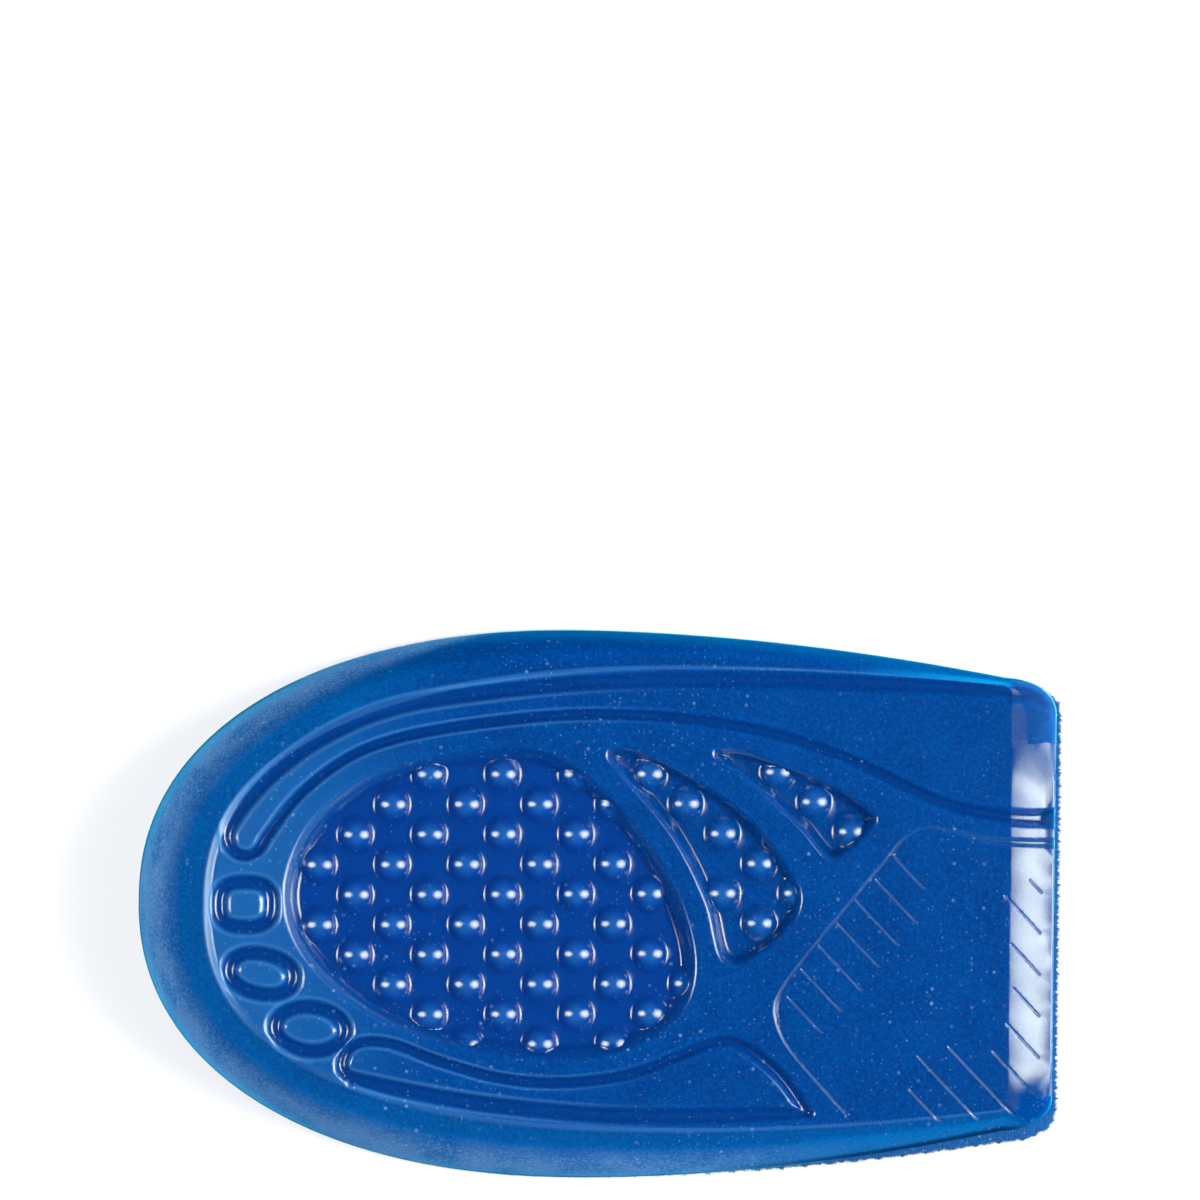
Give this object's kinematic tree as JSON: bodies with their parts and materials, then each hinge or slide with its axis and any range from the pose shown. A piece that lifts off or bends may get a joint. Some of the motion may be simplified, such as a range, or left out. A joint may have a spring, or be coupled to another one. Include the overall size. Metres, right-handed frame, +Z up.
{
  "type": "gel heel pad",
  "caption": "Moulded gel heel pad with a nubbed heel field, raised wings and a cloth-covered heel dish, lying sole side up; cushions the heel inside a shoe.",
  "frame": {"origin": "middle of the pad's plan, on the surface that its rim rests on", "axes": "+X from the rounded heel to the thin front edge, +Y to the side of the long wing, +Z up, out of the sole"},
  "size_m": [0.11, 0.0654, 0.0176],
  "materials": {
    "gel": "translucent blue moulded gel, satin with a fine dust bloom, glossy in the sunk fields and on the nubs",
    "cover_cloth": "thin blue brushed knit with a soft cut edge"
  },
  "bodies": {
    "root": {"gel_pad": "gel", "top_cover": "cover_cloth"}
  },
  "joints": []
}
